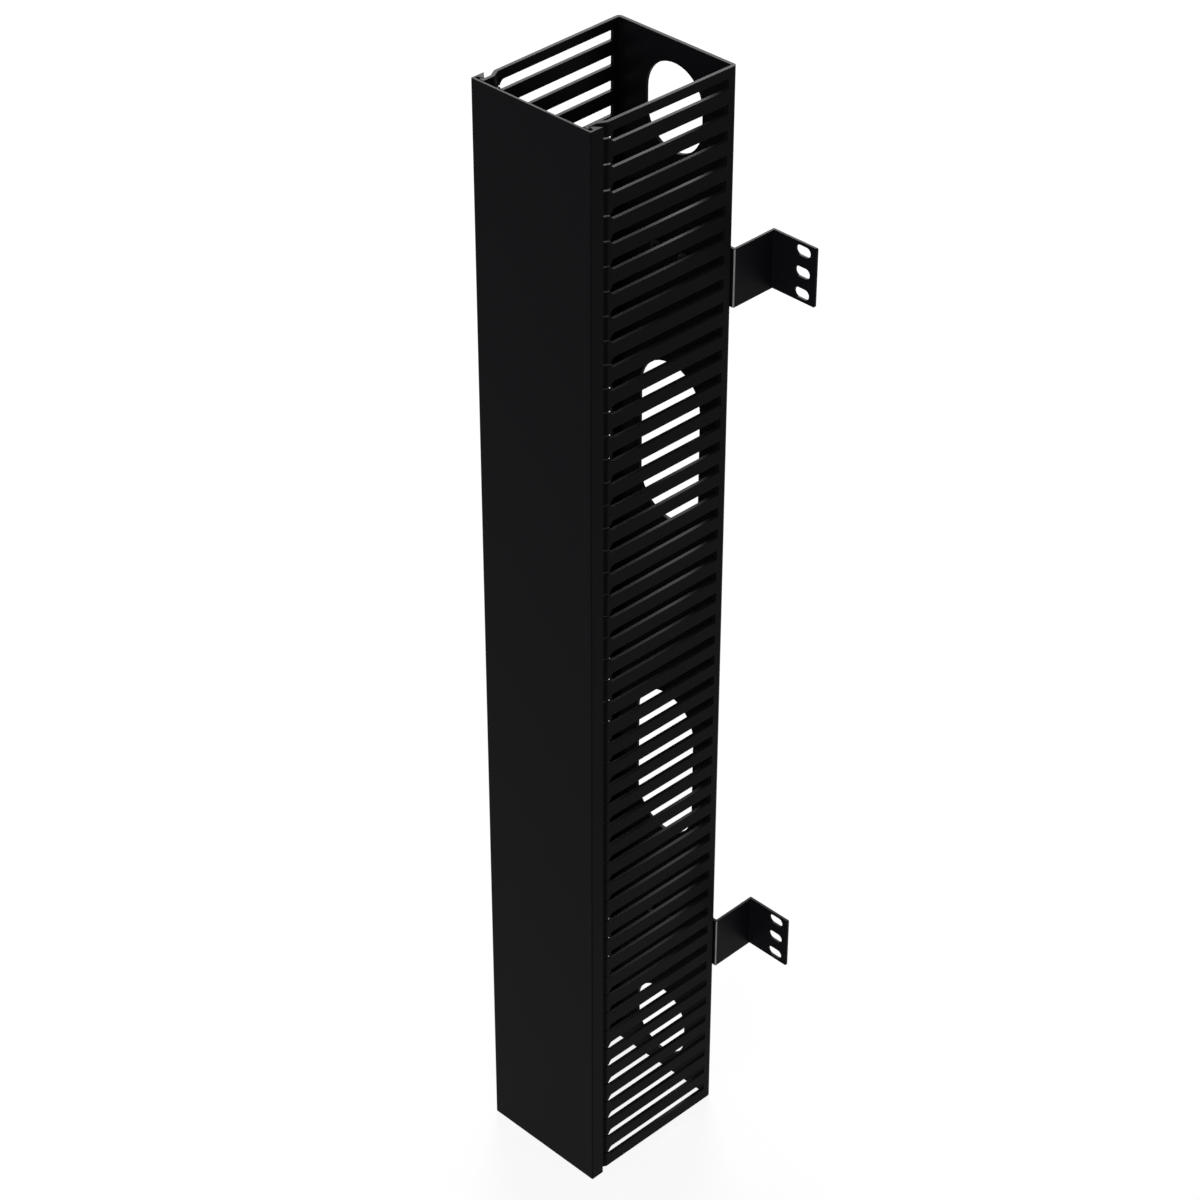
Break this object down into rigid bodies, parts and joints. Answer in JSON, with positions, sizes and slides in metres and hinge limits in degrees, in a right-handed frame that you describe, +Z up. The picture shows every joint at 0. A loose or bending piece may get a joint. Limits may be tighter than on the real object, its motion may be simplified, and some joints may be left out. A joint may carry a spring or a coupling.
{
  "type": "vertical cable manager",
  "caption": "Tall slotted duct with fingers down both sides, oblong windows in its back, a clip-on front cover that also slides, and folded steel brackets for a rack post.",
  "frame": {"origin": "centre of the lower bracket's middle slot, on the rear face that seats on the rack post", "axes": "+Z up along the duct, -Y towards the front cover, +X from the duct towards the rack post"},
  "size_m": [0.1451, 0.1716, 0.889],
  "materials": {
    "duct": "matte black rigid plastic, extruded and punched",
    "cover": "matte black rigid plastic, extruded",
    "bracket": "satin black powder coat on folded steel",
    "fastener": "black oxide steel"
  },
  "bodies": {
    "duct": {"finger_duct": "duct", "lower_bracket": "bracket", "upper_bracket": "bracket", "lower_left_screw": "fastener", "lower_left_nut": "fastener", "lower_right_screw": "fastener", "lower_right_nut": "fastener", "upper_left_screw": "fastener", "upper_left_nut": "fastener", "upper_right_screw": "fastener", "upper_right_nut": "fastener"},
    "cover": {"front_cover": "cover"}
  },
  "joints": [
    {"name": "cover_slide", "type": "slide", "parent": "duct", "child": "cover", "axis": [0, 0, 1], "range_m": [-0.86, 0.86]}
  ]
}
